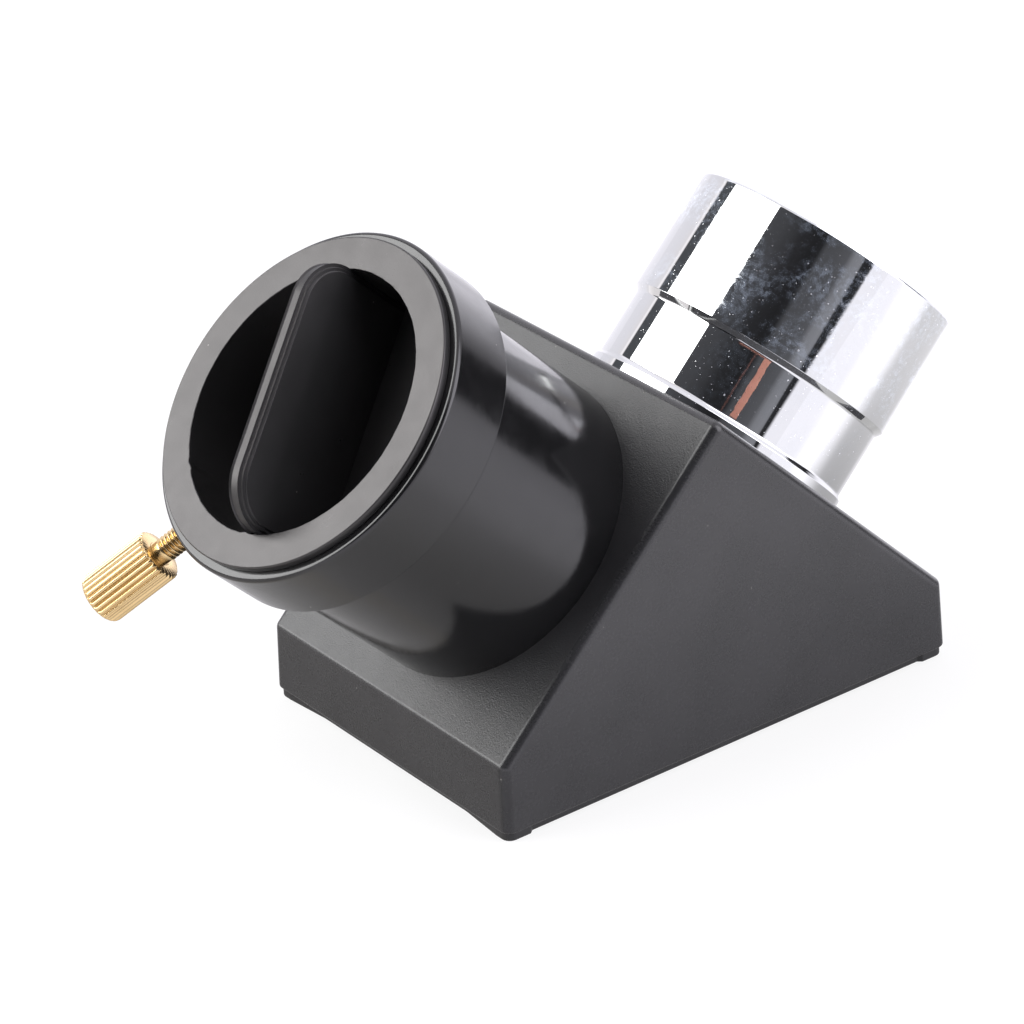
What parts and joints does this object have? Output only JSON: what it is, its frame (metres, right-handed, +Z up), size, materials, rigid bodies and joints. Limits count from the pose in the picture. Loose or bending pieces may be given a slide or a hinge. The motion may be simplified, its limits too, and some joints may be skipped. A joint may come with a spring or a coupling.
{
  "type": "star diagonal",
  "caption": "Right-angle mirror star diagonal with eyepiece holder, knurled lock screw, push-in dust plug and plated nosepiece.",
  "frame": {"origin": "on the base cover's resting face, right below the point where the two optical axes meet the mirror", "axes": "+Z up from the resting face; -Y towards the eyepiece holder, +Y towards the nosepiece; X across the housing. The eyepiece axis leaves along (0,-1,1) and the nosepiece axis along (0,1,1)."},
  "size_m": [0.043, 0.0996, 0.0596],
  "materials": {
    "housing_black": "fine-grained satin black moulding",
    "cover_black": "satin black moulding",
    "holder_black": "smooth semi-gloss black",
    "plug_black": "satin black soft plastic",
    "nose_chrome": "polished plating",
    "screw_brass": "bright turned brass",
    "insert_brass": "plain brass",
    "mirror_glass": "front-coated plane mirror",
    "pad_felt": "pressed felt",
    "clip_steel": "spring steel strip",
    "screw_black": "black oxide",
    "screw_zinc": "zinc plated"
  },
  "bodies": {
    "diagonal": {"housing": "housing_black", "base_cover": "cover_black", "cover_screws": "screw_black", "mirror": "mirror_glass", "mirror_pads": "pad_felt", "mirror_clips": "clip_steel", "clip_screws": "screw_zinc", "eyepiece_holder": "holder_black", "lock_insert": "insert_brass", "nosepiece": "nose_chrome"},
    "screw_stud": {"lock_stud": "screw_brass"},
    "screw_knob": {"lock_knob": "screw_brass"},
    "plug": {"dust_plug": "plug_black"}
  },
  "joints": [
    {"name": "plug_slide", "type": "slide", "parent": "diagonal", "child": "plug", "axis": [0, -0.7071, 0.7071], "range_m": [0, 0.045]},
    {"name": "lock_screw_advance", "type": "slide", "parent": "diagonal", "child": "screw_stud", "axis": [-0.503, -0.6111, -0.6111], "range_m": [-0.0003, 0.0025]},
    {"name": "lock_screw_turn", "type": "hinge", "parent": "screw_stud", "child": "screw_knob", "pos_m": [0, -0.03385, 0.04277], "axis": [-0.503, -0.6111, -0.6111], "range_deg": [-216, 1800]}
  ],
  "couplings": [
    {"joint": "lock_screw_turn", "follows": "lock_screw_advance", "rad_per_m": 12566}
  ]
}
